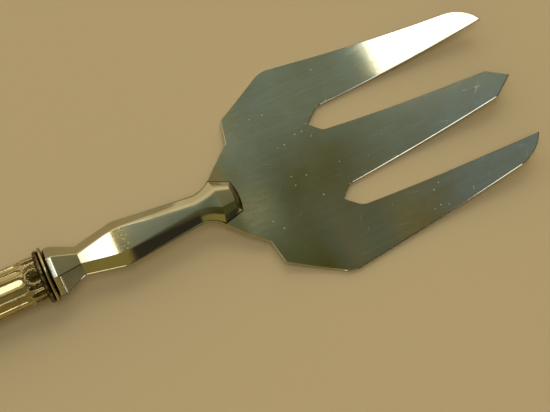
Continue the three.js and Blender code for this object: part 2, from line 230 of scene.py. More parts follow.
def scratchEffect():
    # sparse hairline scratches that lie about one direction and come and go in patches
    tree, given, result = effect(
        "hairScratches",
        [("Vector", "Vector", None), ("Turn", "Float", 0.0), ("Fine", "Float", 2600.0),
         ("Rare", "Float", 0.66)],
        [("Scratch", "Float")],
    )
    turned = addNode(tree, "VectorRotate", {"Vector": given["Vector"], "Angle": given["Turn"]},
                     rotation_type="Z_AXIS").outputs[0]
    pulls = {0: scratchLook["along"], 1: given["Fine"], 2: scratchLook["through"]}
    pull = addNode(tree, "CombineXYZ", pulls)
    place = addNode(tree, "VectorMath", {0: turned, 1: pull.outputs[0]}, operation="MULTIPLY")
    lines = noise(tree, place.outputs[0], scale=1.0, detail=1.0)
    sharp = remap(tree, lines, given["Rare"], maths(tree, "ADD", given["Rare"], scratchLook["soft"]))
    shown = remap(tree, noise(tree, turned, **scratchLook["patches"]), *scratchLook["shown"])
    tree.links.new(maths(tree, "MULTIPLY", sharp, shown), result["Scratch"])
    return tree


tarnishLook = {
    "grit": {"scale": 1500.0, "detail": 4.0},
    "gritReach": 0.3,  # how far the grit moves the tarnish's edge
    "deep": (0.25, 0.85),
    "smear": {"scale": 160.0, "detail": 3.0},
    "smeared": (0.4, 0.75),
}


def tarnishEffect():
    # dark tarnish that polishing leaves in the recesses, with a broken edge
    tree, given, result = effect(
        "darkTarnish",
        [("Vector", "Vector", None), ("Recess", "Float", 0.0), ("Film", "Float", 0.1)],
        [("Tarnish", "Float")],
    )
    grit = noise(tree, given["Vector"], **tarnishLook["grit"])
    smear = noise(tree, given["Vector"], **tarnishLook["smear"])
    shift = remap(tree, grit, *noiseSpan, -tarnishLook["gritReach"], tarnishLook["gritReach"])
    deep = remap(tree, maths(tree, "ADD", given["Recess"], shift), *tarnishLook["deep"])
    film = maths(tree, "MULTIPLY", remap(tree, smear, *tarnishLook["smeared"]), given["Film"])
    tree.links.new(maths(tree, "MAXIMUM", deep, film), result["Tarnish"])
    return tree


drawnGrain = drawnGrainEffect()
hairScratches = scratchEffect()
darkTarnish = tarnishEffect()


def newFinish(name, metallic):
    material = bpy.data.materials.new(name)
    material.use_nodes = True
    tree = material.node_tree
    shader = tree.nodes["Principled BSDF"]
    shader.inputs["Metallic"].default_value = metallic
    place = addNode(tree, "TexCoord").outputs["Object"]
    return material, tree, shader.inputs, place


# satin plate: rolled sheet with grain along the tines, an olive film, light scratches, and pale specks that
# are painted glints of pinhead dents
satin = {
    "cool": (0.55, 0.59, 0.55, 1),
    "warm": (0.49, 0.465, 0.33, 1),
    "pale": (0.80, 0.78, 0.70, 1),  # scratches, and the painted glints of the specks
    "fineGrain": {"Along": 90.0, "Across": 5200.0},  # lines to the metre
    "coarseGrain": {"Along": 25.0, "Across": 900.0},
    "patches": {"scale": 45.0, "detail": 6.0, "roughness": 0.62},
    "fineShare": 0.23,  # of both grains and the patches in the warm streaks
    "coarseShare": 0.22,
    "patchShare": 0.55,
    "streaks": (0.41, 0.59),
    "film": (0.37, 0.315, 0.15, 1),  # handling film on the palm
    "filmAt": (0.0655, -0.0035, 0.0015),  # metres, as are the next three
    "filmFull": 0.004,
    "filmGone": 0.020,
    "filmRagged": 0.009,
    "filmShare": 0.85,
    "longScratch": {"Turn": 0.25, "Fine": 4200.0, "Rare": 0.70},
    "crossScratch": {"Turn": -0.9, "Fine": 4600.0, "Rare": 0.72},
    "scratchPale": 0.34,
    "scratchRough": 0.10,
    "scratchDeep": 0.3,
    # pale specks painted in as the glints of pinhead dents; no dent is modelled
    "paintedGlintSpecks": {"scale": 480.0, "size": 0.10, "rare": 0.95},
    "clusters": {"scale": 55.0, "detail": 2.0},
    "clustered": (0.44, 0.54),
    "fineHeight": 0.6,  # of both grains in the roughness and the bump
    "coarseHeight": 0.4,
    "rough": (0.05, 0.11),
    "bumpStrength": 0.03,
    "bumpHeight": 0.00003,
}


def satinFinish():
    material, tree, shader, place = newFinish("satinSteel", 1.0)
    fine = useEffect(tree, drawnGrain, {"Vector": place, **satin["fineGrain"]})
    coarse = useEffect(tree, drawnGrain, {"Vector": place, **satin["coarseGrain"]})
    long = useEffect(tree, hairScratches, {"Vector": place, **satin["longScratch"]})
    cross = useEffect(tree, hairScratches, {"Vector": place, **satin["crossScratch"]})
    scratch = maths(tree, "MAXIMUM", long, cross)
    patches = noise(tree, place, **satin["patches"])
    lines = weighted(tree, coarse, satin["coarseShare"], fine, satin["fineShare"])
    streaks = maths(tree, "ADD", scaled(tree, patches, satin["patchShare"]), lines)
    clean = blendColour(tree, remap(tree, streaks, *satin["streaks"]), satin["cool"], satin["warm"])
    reach = addNode(tree, "VectorMath", {0: place, 1: satin["filmAt"]}, operation="DISTANCE")
    ragged = remap(tree, patches, *noiseSpan, -satin["filmRagged"], satin["filmRagged"])
    edge = maths(tree, "ADD", reach.outputs["Value"], ragged)
    film = remap(tree, edge, satin["filmFull"], satin["filmGone"], satin["filmShare"], 0.0)
    tint = blendColour(tree, film, clean, satin["film"])
    clustered = remap(tree, noise(tree, place, **satin["clusters"]), *satin["clustered"])
    # painted glints: pale specks with no metal in them, gathered in clusters
    paintedGlintSpecks = maths(tree, "MULTIPLY", paintedGlintDots(tree, place, **satin["paintedGlintSpecks"]), clustered)
    # pale scratches together with the painted glint specks
    scratchesAndGlints = maths(tree, "MAXIMUM", paintedGlintSpecks, scaled(tree, scratch, satin["scratchPale"]))
    tree.links.new(blendColour(tree, scratchesAndGlints, tint, satin["pale"]), shader["Base Color"])
    tree.links.new(maths(tree, "SUBTRACT", 1.0, scratchesAndGlints), shader["Metallic"])
    grain = weighted(tree, fine, satin["fineHeight"], coarse, satin["coarseHeight"])
    rough = remap(tree, grain, *noiseSpan, *satin["rough"])
    worn = maths(tree, "ADD", rough, scaled(tree, scratch, satin["scratchRough"]))
    tree.links.new(worn, shader["Roughness"])
    height = maths(tree, "SUBTRACT", grain, scaled(tree, scratch, satin["scratchDeep"]))
    setBump(tree, shader, height, satin["bumpStrength"], satin["bumpHeight"])
    return material


# polished shank: bright pressing with faint orange peel, and a patch on the belly with painted sparkle: a
# golden tint and pale gold specks that stand for glints
polished = {
    "bright": (0.56, 0.545, 0.44, 1),
    "dull": (0.49, 0.475, 0.37, 1),
    "patches": {"scale": 120.0, "detail": 3.0},
    "dulled": (0.35, 0.7),
    "darkFoot": (0.07, 0.045, 0.02, 1),
    "sparkleTint": (0.60, 0.48, 0.22, 1),  # painted golden tint of the sparkling patch, round its specks
    "sparkleTintShare": 0.8,
    "sparkleSpeck": (1.0, 0.86, 0.48, 1),
    "sparkleSpecks": {"scale": 1000.0, "size": 0.19},
    "sparkleRare": 0.25,  # in the middle of the patch
    "scratch": {"Turn": 0.4, "Fine": 3200.0, "Rare": 0.68},
    "rough": (0.09, 0.13),
    "wornRough": 0.2,
    "waves": {"scale": 1800.0, "detail": 1.0},
    "waveStrength": 0.65,
    "waveHeight": 0.000006,
}


def polishedFinish():
    material, tree, shader, place = newFinish("polishedSteel", 1.0)
    patches = noise(tree, place, **polished["patches"])
    scratch = useEffect(tree, hairScratches, {"Vector": place, **polished["scratch"]})
    darkFoot = ownAttribute(tree, "darkFoot")
    sparkleZone = ownAttribute(tree, "sparkleZone")
    rare = remap(tree, sparkleZone, 0.0, 1.0, 1.0, polished["sparkleRare"])
    # painted sparkle: pale gold specks with no metal in them, standing for glints at the edge of the
    # belly's highlight
    sparkleSpecks = paintedGlintDots(tree, place, rare=rare, **polished["sparkleSpecks"])
    dulled = remap(tree, patches, *polished["dulled"])
    clean = blendColour(tree, dulled, polished["bright"], polished["dull"])
    around = blendColour(tree, scaled(tree, sparkleZone, polished["sparkleTintShare"]), clean, polished["sparkleTint"])
    sparkled = blendColour(tree, sparkleSpecks, around, polished["sparkleSpeck"])
    # darker at the cover's foot, where it meets the plate
    tree.links.new(blendColour(tree, darkFoot, sparkled, polished["darkFoot"]), shader["Base Color"])
    tree.links.new(maths(tree, "SUBTRACT", 1.0, sparkleSpecks), shader["Metallic"])
    rough = remap(tree, patches, *noiseSpan, *polished["rough"])
    worn = scaled(tree, maths(tree, "MAXIMUM", scratch, darkFoot), polished["wornRough"])
    tree.links.new(maths(tree, "ADD", rough, worn), shader["Roughness"])
    waves = noise(tree, place, **polished["waves"])
    setBump(tree, shader, waves, polished["waveStrength"], polished["waveHeight"])
    return material


# silver of the collar and handle, with tarnish in its recesses
silver = {
    "bright": (0.50, 0.43, 0.25, 1),
    "tarnished": (0.06, 0.042, 0.016, 1),
    "handleFilm": 0.28,
    "collarFilm": 0.25,
    "rough": (0.11, 0.42),  # bright and tarnished
    "scratch": {"Turn": 0.15, "Fine": 3600.0, "Rare": 0.66},
    "wornRough": 0.15,
    "wear": {"scale": 900.0, "detail": 3.0},
    "wearStrength": 0.08,
    "wearHeight": 0.00008,
}


def silverFinish(name, film):
    material, tree, shader, place = newFinish(name, 1.0)
    recess = ownAttribute(tree, "recess")
    tarnish = useEffect(tree, darkTarnish, {"Vector": place, "Recess": recess, "Film": film})
    scratch = useEffect(tree, hairScratches, {"Vector": place, **silver["scratch"]})
    tint = blendColour(tree, tarnish, silver["bright"], silver["tarnished"])
    tree.links.new(tint, shader["Base Color"])
    rough = remap(tree, tarnish, 0.0, 1.0, *silver["rough"])
    worn = maths(tree, "ADD", rough, scaled(tree, scratch, silver["wornRough"]))
    tree.links.new(worn, shader["Roughness"])
    wear = noise(tree, place, **silver["wear"])
    setBump(tree, shader, wear, silver["wearStrength"], silver["wearHeight"])
    return material


# hidden pieces: drawn bar and set resin
drawnBar = {
    "dark": (0.36, 0.37, 0.37, 1),
    "bright": (0.48, 0.49, 0.48, 1),
    "grain": {"Along": 40.0, "Across": 3000.0},
    "grainSpan": (0.2, 0.8),
    "rough": (0.35, 0.55),
}
setResin = {
    "dark": (0.16, 0.12, 0.09, 1),
    "pale": (0.34, 0.27, 0.21, 1),
    "cloud": {"scale": 300.0, "detail": 5.0},
    "cloudSpan": (0.2, 0.8),
    "rough": (0.6, 0.85),
    "bumpStrength": 0.3,
    "bumpHeight": 0.0002,
}


def drawnBarFinish():
    material, tree, shader, place = newFinish("drawnBar", 1.0)
    grain = useEffect(tree, drawnGrain, {"Vector": place, **drawnBar["grain"]})
    tree.links.new(blendColour(tree, grain, drawnBar["dark"], drawnBar["bright"]), shader["Base Color"])
    tree.links.new(remap(tree, grain, *drawnBar["grainSpan"], *drawnBar["rough"]), shader["Roughness"])
    return material


def resinFinish():
    material, tree, shader, place = newFinish("setResin", 0.0)
    cloud = noise(tree, place, **setResin["cloud"])
    tree.links.new(blendColour(tree, cloud, setResin["dark"], setResin["pale"]), shader["Base Color"])
    tree.links.new(remap(tree, cloud, *setResin["cloudSpan"], *setResin["rough"]), shader["Roughness"])
    setBump(tree, shader, cloud, setResin["bumpStrength"], setResin["bumpHeight"])
    return material


satinSteel = satinFinish()
polishedSteel = polishedFinish()
handleSilver = silverFinish("handleSilver", silver["handleFilm"])
collarSilver = silverFinish("collarSilver", silver["collarFilm"])
print("finishes ready")


# fork plate: outline, bends and edges
plate = {
    "thick": 1.5,
    "pointAt": 92.7,  # from the head's rear corners
    "chamfer": 0.16,
    "chamferDeep": 0.18,
    "cornerSteps": 8,
    "sharpAngle": 32,  # edges that turn by more stay sharp, in degrees
    "slice": 1.4,
    "neckAt": -6.0,
    "neckBend": 15.0,  # radii of the bends
    "palmBend": 78.0,
    "palmFlat": 11.0,
    "tineSweep": 190.0,
    "corners": [  # along, across, and how far the corner is cut back
        (-50.3, 6.1, 0),
        (-49.6, 7.4, 1.2),
        (-41.3, 4.4, 0.3),
        (-29.4, 6.85, 0.8),
        (-2.77, 4.1, 3.4),
        (4.6, 11.6, 3.5),
        (9.8, 15.9, 0),
        (11.3, 23.1, 0.6),
        (28.0, 33.0, 2.4),
        (89.5, 24.7, 5.1),
        (92.7, 19.0, 0),
        (38.8, 16.3, 1.4),
        (34.4, 12.35, 0.2),
        (37.8, 9.05, 0.9),
        (87.2, 4.2, 0.5),
        (92.7, 0.0, 0),
    ],
}
headX = nodeHigh["fork_plate"].x - plate["pointAt"]


def sheetLine(at):
    # height and slope of the sheet's middle
    half = plate["thick"] / 2
    drop = axisHeight - half
    bend = math.acos(1 - drop / (plate["neckBend"] + plate["palmBend"]))
    turnAt = plate["neckAt"] + plate["neckBend"] * math.sin(bend)
    palmAt = turnAt + plate["palmBend"] * math.sin(bend)
    palmEnd = palmAt + plate["palmFlat"]
    if at <= plate["neckAt"]:
        return axisHeight, 0.0
    if at <= turnAt:
        turn = math.asin((at - plate["neckAt"]) / plate["neckBend"])
        return axisHeight - plate["neckBend"] * (1 - math.cos(turn)), -turn
    if at <= palmAt:
        turn = math.asin((palmAt - at) / plate["palmBend"])
        return half + plate["palmBend"] * (1 - math.cos(turn)), -turn
    if at <= palmEnd:
        return half, 0.0
    turn = math.asin((at - palmEnd) / plate["tineSweep"])
    return half + plate["tineSweep"] * (1 - math.cos(turn)), turn


def besideSheet(at, across, off):
    height, slope = sheetLine(at)
    return Vector((at - off * math.sin(slope), across, height + off * math.cos(slope)))


def stampedSheet(bm):
    first = plate["corners"][0]
    points = [(first[0], 0, 0)] + plate["corners"]
    outline = [bm.verts.new((at, across, -plate["thick"] / 2)) for at, across, _ in points]
    bm.faces.new(outline)
    for vert, (_, _, cutBack) in zip(outline, points):
        if cutBack:
            bmesh.ops.bevel(bm, geom=[vert], offset=cutBack, offset_type="OFFSET", affect="VERTICES",
                            segments=plate["cornerSteps"], profile=0.5, material=-1, clamp_overlap=True)
    made = bmesh.ops.duplicate(bm, geom=allOf(bm))["geom"]
    raised = [part for part in made if isinstance(part, bmesh.types.BMVert)]
    bmesh.ops.translate(bm, vec=(0, 0, plate["thick"]), verts=raised)
    bmesh.ops.bridge_loops(bm, edges=bm.edges)
    middle = [face for face in bm.faces if all(abs(vert.co.y) < onCut for vert in face.verts)]
    bmesh.ops.delete(bm, geom=middle, context="FACES")
    bmesh.ops.mirror(bm, geom=allOf(bm), axis="Y", merge_dist=weld)
    bmesh.ops.recalc_face_normals(bm, faces=bm.faces)
    upright, level = 0.1, 0.9  # limits of a normal's height on the edge and on the flat of the sheet
    rim = [edge for edge in bm.edges if len(edge.link_faces) == 2
           and min(abs(face.normal.z) for face in edge.link_faces) < upright
           and max(abs(face.normal.z) for face in edge.link_faces) > level]
    bmesh.ops.bevel(bm, geom=rim, offset=plate["chamfer"], offset_type="OFFSET", affect="EDGES",
                    segments=1, profile=0.5, material=-1, clamp_overlap=True)
    flat = plate["thick"] / 2
    for vert in bm.verts:
        if abs(vert.co.z) < flat - weld:
            vert.co.z = math.copysign(flat - plate["chamferDeep"], vert.co.z)
    slices = int((plate["pointAt"] - plate["neckAt"]) / plate["slice"])
    for at in spread(plate["neckAt"], plate["pointAt"], slices)[:-1]:
        bmesh.ops.bisect_plane(bm, geom=allOf(bm), dist=onCut, plane_co=(at, 0, 0), plane_no=(1, 0, 0))
    for vert in bm.verts:
        vert.co = besideSheet(vert.co.x, vert.co.y, vert.co.z)


# shank: pressed facets over and under the sheet
shank = {
    "lip": 0.16,  # edge of the sheet left showing beside the cover
    "land": 0.25,  # upright foot of each bevel
    "leastLand": 0.2,
    "sharpAngle": 16,
    "footBeadOut": 0.35,  # dark line and small bead round the head's foot, where it meets the plate
    "footBeadHigh": 0.12,
    "footBeadStep": 0.3,  # share of its height that stands upright
    "darkFootLanes": 3,  # rows of corners that it covers on each side
    "footBeadFrom": -1.5,
    "sparkleAt": -29.2,  # patch of painted sparkle on the belly's top
    "sparkleHalf": 2.6,
    "sparkleLanes": slice(9, 13),
    "baseSteps": 6,
    "flareSteps": 10,
    "flareTurnAt": -2.77,
    "neckFall": 0.068,  # slope that the top facet keeps into the flare
    "mouth": (-50.3, 6.1, 2.5, 3.9),  # place, half-width of the foot, of the top facet, height
    "landEnd": (-49.5, 7.4, 3.1, 4.67),
    "base": (-48.1, 7.4, 3.1, 4.8),
    "waist": (-41.3, 4.4, 1.6, 1.9),
    "belly": (-29.4, 6.85, 3.95, 3.1),
    "neck": (-6.0, 4.1, 2.0, 1.5),
    "head": (0.0, 6.7, 3.7, 2.0),
    "headEnd": (8.0, 3.95, 2.4, 2.0),  # before its front is cut to a bevel
    "headSteps": 6,
    "bevelTop": 4.4,
    "bevelFoot": 6.95,
    "bevelRadius": 16.0,  # the bevel curves back to both sides
    "bevelTurn": 18,
    "bevelStep": 6,
    "bevelFrom": 4.0,  # its faces lie ahead of this and face about the same way
    "bevelFacing": 0.9,
    "troughEnd": (3.0, 2.9, 1.2, 0.25),
    "troughSteps": 4,
    "slimSteps": 8,
    "baseCutBack": 0.6,  # how far from each crest its curve begins
    "crestCutBack": 4.0,
    "crestSteps": 8,
    "softRear": 0.25,  # rounding of the top facet's edges, up to the belly and from the neck on
    "softFront": 1.5,
    "softMost": 0.45,  # share of a side that rounding may take
    "softSteps": 6,
}


def mixStations(first, second, share):
    return tuple(mix(a, b, share) for a, b in zip(first, second))


def crestStations(before, crest, after, cutBack):
    made = []
    rear = mixStations(crest, before, cutBack / (crest[0] - before[0]))
    ahead = mixStations(crest, after, cutBack / (after[0] - crest[0]))
    for share in [0] + spread(0, 1, shank["crestSteps"]):
        toCrest = mixStations(rear, crest, share)
        fromCrest = mixStations(crest, ahead, share)
        at, foot, facet, height = mixStations(toCrest, fromCrest, share)
        side, end = (before, crest) if at < crest[0] else (after, crest)
        foot = mix(side[1], end[1], (at - side[0]) / (end[0] - side[0]))
        made.append((at, foot, facet, height))
    return made


def baseStations():
    made = []
    mouth, landEnd = shank["mouth"], shank["landEnd"]
    for share in [0] + spread(0, 1, shank["baseSteps"]):
        _, foot, facet, height = mixStations(mouth, landEnd, quarterRound(share))
        made.append((mix(mouth[0], landEnd[0], share), foot, facet, height))
    return made + crestStations(landEnd, shank["base"], shank["waist"], shank["baseCutBack"])


def slimStations():
    # from the base over the waist and belly to the neck
    belly = crestStations(shank["waist"], shank["belly"], shank["neck"], shank["crestCutBack"])
    slim = [mixStations(belly[-1], shank["neck"], share) for share in spread(0, 1, shank["slimSteps"])]
    return baseStations() + [shank["waist"]] + belly + slim


def flareStations():
    made = []
    neckAt = shank["neck"][0]
    for share in spread(0, 1, shank["flareSteps"]):
        at = neckAt * (1 - share) ** 2 + 2 * share * (1 - share) * shank["flareTurnAt"]
        _, foot, facet, height = mixStations(shank["neck"], shank["head"], share * share)
        fall = shank["neckFall"] * (at - neckAt) * (1 - share) ** 2
        made.append((at, foot, facet, height - fall))
    return made


def headStations():
    steps = spread(0, 1, shank["headSteps"])
    return flareStations() + [mixStations(shank["head"], shank["headEnd"], share) for share in steps]


def cutHeadFront(bm, darkFoot):
    half = plate["thick"] / 2
    top = besideSheet(shank["bevelTop"], 0, half + shank["head"][3])
    foot = besideSheet(shank["bevelFoot"], 0, half)
    level = (foot - top).cross(Vector((0, 1, 0))).normalized()
    out = Vector((shank["bevelRadius"], 0, 0))
    for turn in range(-shank["bevelTurn"], shank["bevelTurn"] + 1, shank["bevelStep"]):
        spin = Matrix.Rotation(math.radians(turn), 3, "Z")
        cut = bmesh.ops.bisect_plane(bm, geom=allOf(bm), dist=onCut, plane_co=top - out + spin @ out,
                                     plane_no=spin @ level, clear_outer=True)
        rim = [part for part in cut["geom_cut"] if isinstance(part, bmesh.types.BMEdge)]
        bmesh.ops.holes_fill(bm, edges=rim, sides=0)
    bm.normal_update()
    front = [face for face in bm.faces if face.calc_center_median().x > shank["bevelFrom"]
             and abs(face.normal.dot(level)) > shank["bevelFacing"]]
    edges = list({edge for face in front for edge in face.edges})
    verts = list({vert for face in front for vert in face.verts})
    above = (top - besideSheet(shank["bevelTop"], 0, 0)).normalized()
    seam = foot + above * shank["footBeadHigh"]
    bmesh.ops.bisect_plane(bm, geom=verts + edges + front, dist=onCut, plane_co=seam, plane_no=above)
    for vert in bm.verts:
        if vert.co.x > shank["bevelTop"] and (vert.co - seam).dot(above) < weld:
            vert[darkFoot] = 1


def softCorner(before, corner, after, cutBack):
    corner, ends = Vector(corner), [Vector(before), Vector(after)]
    reach = [min(cutBack, shank["softMost"] * (end - corner).length) for end in ends]
    rear, ahead = [corner + (end - corner).normalized() * far for end, far in zip(ends, reach)]
    shares = [0] + spread(0, 1, shank["softSteps"])
    return [rear.lerp(corner, share).lerp(corner.lerp(ahead, share), share) for share in shares]


def facetRing(station, side):
    at, foot, facet, height = station
    half = plate["thick"] / 2
    edge = foot - shank["lip"]
    share = (at - shank["belly"][0]) / (shank["neck"][0] - shank["belly"][0])
    soft = mix(shank["softRear"], shank["softFront"], min(max(share, 0), 1))
    onHead = min(max(1 - at / shank["footBeadFrom"], 0), 1) if side > 0 else 0
    outer = edge + shank["footBeadOut"] * onHead
    step = half + shank["footBeadStep"] * shank["footBeadHigh"]
    feet = [(outer, 0), (outer, step), (edge, half + shank["footBeadHigh"])]
    heel = (edge, half + min(shank["land"], max(height, shank["leastLand"])))
    ridge = (facet, half + height)
    left = [(-across, off) for across, off in feet + [heel, ridge]]
    near = softCorner(left[3], left[4], ridge, soft)
    far = softCorner(left[4], ridge, heel, soft)
    corners = left[:4] + near + far + [heel] + feet[::-1]
    return [besideSheet(at, across, side * off) for across, off in corners]


def pressedTrough(bm):
    steps = spread(0, 1, shank["troughSteps"])
    ends = [mixStations(shank["neck"], shank["troughEnd"], share) for share in steps]
    loftRings(bm, [facetRing(station, -1) for station in slimStations() + ends])


def makeForkPlate():
    bm = bmesh.new()
    stampedSheet(bm)
    pressedTrough(bm)
    finishPiece(bm, "forkPlate", satinSteel, "fork_plate", plate["sharpAngle"])


def makeShankCover():
    bm = bmesh.new()
    darkFoot = bm.verts.layers.float.new("darkFoot")
    sparkleZone = bm.verts.layers.float.new("sparkleZone")
    stations = slimStations() + headStations()
    lanes = loftRings(bm, [facetRing(station, 1) for station in stations])
    # the painted sparkle patch lies on the belly's top facet
    for lane in lanes[shank["sparkleLanes"]]:
        for vert, station in zip(lane, stations):
            vert[sparkleZone] = bump(station[0], shank["sparkleAt"], shank["sparkleHalf"])
    # the corners of the cover's foot take the dark colour
    for lane in lanes[:shank["darkFootLanes"]] + lanes[-shank["darkFootLanes"]:]:
        for vert in lane:
            vert[darkFoot] = 1
    cutHeadFront(bm, darkFoot)
    finishPiece(bm, "shankCover", polishedSteel, "shank_cover", shank["sharpAngle"])


# collar: the thin bright disc and the dark bead behind it
collar = {
    "discStand": 1.75,  # how far each ring stands out from the handle's front
    "discRound": 0.3,
    "discSteps": 4,
    "beadStand": 1.3,
    "grooveStand": 0.45,
    "beadSteps": 12,
    "beadTarnish": 0.72,
    "sharpAngle": 50,
    "sides": 128,
}


def collarOval(at, stand):
    return at, handle["frontHalfWidth"] + stand, handle["frontHalfHeight"] + stand


def makeMouthPlate():
    bm = bmesh.new()
    recess = bm.verts.layers.float.new("recess")
    back = nodeLow["mouth_plate"].x - headX
    front = nodeHigh["mouth_plate"].x - headX
    ovals = []
    for share in [0] + spread(0, 1, collar["discSteps"]):
        reach = collar["discRound"] * (1 - quarterRound(share))
        ovals.append(collarOval(back + collar["discRound"] * share, collar["discStand"] - reach))
    ovals += [(back + front - at, wide, tall) for at, wide, tall in reversed(ovals)]
    loftOvals(bm, ovals, collar["sides"])
    _, wide, tall = collarOval(back, collar["discStand"])
    for vert in bm.verts:
        depth = wide - math.hypot(vert.co.y, (vert.co.z - axisHeight) * wide / tall)
        vert[recess] = min(1, depth / collar["discRound"])
    finishPiece(bm, "mouthPlate", collarSilver, "mouth_plate", collar["sharpAngle"])


def makeCollarBead():
    bm = bmesh.new()
    back = nodeLow["ferrule"].x - headX
    front = nodeHigh["ferrule"].x - headX
    recess = bm.verts.layers.float.new("recess")
    ovals = []
    for angle in [0] + spread(0, math.pi, collar["beadSteps"]):
        stand = mix(collar["grooveStand"], collar["beadStand"], math.sin(angle))
        ovals.append(collarOval(mix(back, front, (1 - math.cos(angle)) / 2), stand))
    loftOvals(bm, ovals, collar["sides"])
    for vert in bm.verts:
        share = abs(2 * (vert.co.x - back) / (front - back) - 1)
        vert[recess] = mix(collar["beadTarnish"], 1, share ** 2)
    finishPiece(bm, "collarBead", collarSilver, "ferrule", collar["sharpAngle"])


# handle: fluted silver halves with a carved leaf at the end of each flute
handle = {
    "length": 105.0,
    "frontHalfWidth": 6.6,
    "frontHalfHeight": 4.7,
    "buttHalfWidth": 10.0,
    "buttHalfHeight": 7.4,
    "swell": 1.5,
    "leafBand": 4.0,
    "leafSteps": 44,
    "buttBand": 3.0,
    "beadLength": 2.6,
    "beadHeight": 0.4,
    "beadSteps": 10,
    "domeLength": 6.5,
    "domeTurn": 84,  # short of a quarter turn, so that the dome ends in a small flat
    "domeSteps": 12,
    "fluteDepth": 0.26,
    "fluteFlat": 0.14,  # takes the curve out of the flute's floor
    "fluteWall": 8,
    "fluteDark": 1.2,  # tarnish at the top of a flute's wall, and how fast it clears below
    "fluteClear": 1.6,
    "runOut": 2.2,
    "runOutSteps": 10,
    "bodySteps": 40,
    "firstRib": 15.3,  # angles round the oval, from the top
    "ribPitch": 21.5,
    "ribCount": 4,
    "ribHalf": 1.5,
    "seam": 0.15,
    "sharpAngle": 40,
    "sides": 360,
}
leaf = {
    "broadAt": 1.6,  # from the collar
    "broadHalf": 2.5,
    "neckHalf": 2.0,
    "reach": 4.1,
    "lobes": 9,
    "notch": 0.11,
    "rim": 0.26,  # heights of the raised rim, the veins and the boss, and depth of the dish
    "vein": 0.10,
    "boss": 0.18,
    "dish": 0.16,
    "end": 1.25,  # places from the leaf's middle, which is 0, to its edge, which is 1
    "rimAt": 0.88,
    "rimSoft": 0.12,
    "veinAt": 0.5,
    "veinSoft": 0.22,
    "veinSharp": 6,
    "bossSoft": 0.2,
    "grooveAt": 1.15,  # dark groove round the leaf
    "grooveSoft": 0.1,
    "dishDark": 1.6,  # tarnish of the dish, and what the raised forms take off it
    "rimClear": 0.9,
    "veinClear": 0.5,
    "bossClear": 0.6,
    "sideHalf": 1.0,  # small leaves
    "sideEnd": 1.3,
    "sideRim": 0.14,
    "sideRimAt": 0.95,
    "sideRimClear": 0.5,
    "hatch": 0.05,
    "hatchPitch": 0.55,
    "hatchEnd": 0.85,
    "hatchDark": 1.1,
    "hatchClear": 0.8,
}
handleAt = nodeHigh["handle_upper_half"].x - headX
domeAt = handle["length"] - handle["domeLength"]
fluteStart = handle["leafBand"]
fluteEnd = domeAt - handle["beadLength"] - handle["buttBand"]


def handleSize(along):
    share = min(max(along, 0) / (domeAt - handle["beadLength"]), 1) ** handle["swell"]
    wide = mix(handle["frontHalfWidth"], handle["buttHalfWidth"], share)
    tall = mix(handle["frontHalfHeight"], handle["buttHalfHeight"], share)
    return wide, tall


def handleOvals():
    places = [0] + spread(0, fluteStart, handle["leafSteps"])
    places += spread(fluteStart, fluteStart + handle["runOut"], handle["runOutSteps"])
    places += spread(fluteStart + handle["runOut"], fluteEnd - handle["runOut"], handle["bodySteps"])
    places += spread(fluteEnd - handle["runOut"], fluteEnd, handle["runOutSteps"])
    ovals = [(handleAt - along, *handleSize(along)) for along in places]
    wide, tall = handleSize(domeAt)
    for angle in [0] + spread(0, math.pi, handle["beadSteps"]):
        along = domeAt - handle["beadLength"] * (1 + math.cos(angle)) / 2
        stand = handle["beadHeight"] * math.sin(angle)
        ovals.append((handleAt - along, wide + stand, tall + stand))
    turn = math.radians(handle["domeTurn"])
    for angle in spread(0, turn, handle["domeSteps"]):
        along = domeAt + handle["domeLength"] * math.sin(angle) / math.sin(turn)
        ovals.append((handleAt - along, wide * math.cos(angle), tall * math.cos(angle)))
    return ovals


def fluteShare(angle):
    # place in the flute at this angle from the top, from -1 to 1, or None on a rib
    ribs = [handle["firstRib"] + step * handle["ribPitch"] for step in range(handle["ribCount"])]
    ribs = [-rib for rib in reversed(ribs)] + ribs
    for left, right in zip(ribs, ribs[1:]):
        low = left + handle["ribHalf"]
        high = right - handle["ribHalf"]
        if low < angle < high:
            return 2 * (angle - low) / (high - low) - 1
    return None


def broadLeaf(along, across):
    # height and tarnish of the scalloped leaf on the top flute
    if along > leaf["broadAt"]:
        level = (along - leaf["broadAt"]) / (leaf["reach"] - leaf["broadAt"])
        out = math.hypot(across / leaf["broadHalf"], level)
        turn = math.atan2(across / leaf["broadHalf"], level)
    else:
        swell = quarterRound(max(along, 0) / leaf["broadAt"])
        out = abs(across) / mix(leaf["neckHalf"], leaf["broadHalf"], swell)
        turn = math.copysign(math.pi / 2 + (leaf["broadAt"] - along) / leaf["broadHalf"], across)
    ray = abs(math.cos(turn * leaf["lobes"] / 2))
    out *= 1 + leaf["notch"] * (1 - ray)
    if out > leaf["end"]:
        return 0.0, 0.0
    rim = bump(out, leaf["rimAt"], leaf["rimSoft"])
    vein = ray ** leaf["veinSharp"] * bump(out, leaf["veinAt"], leaf["veinSoft"])
    boss = bump(out, 0, leaf["bossSoft"])
    inside = max(0, 1 - out * out)
    height = leaf["rim"] * rim + leaf["vein"] * vein + leaf["boss"] * boss - leaf["dish"] * inside
    dark = max(inside * leaf["dishDark"], bump(out, leaf["grooveAt"], leaf["grooveSoft"]))
    clear = leaf["rimClear"] * rim + leaf["veinClear"] * vein + leaf["bossClear"] * boss
    return height, max(0, dark - clear)


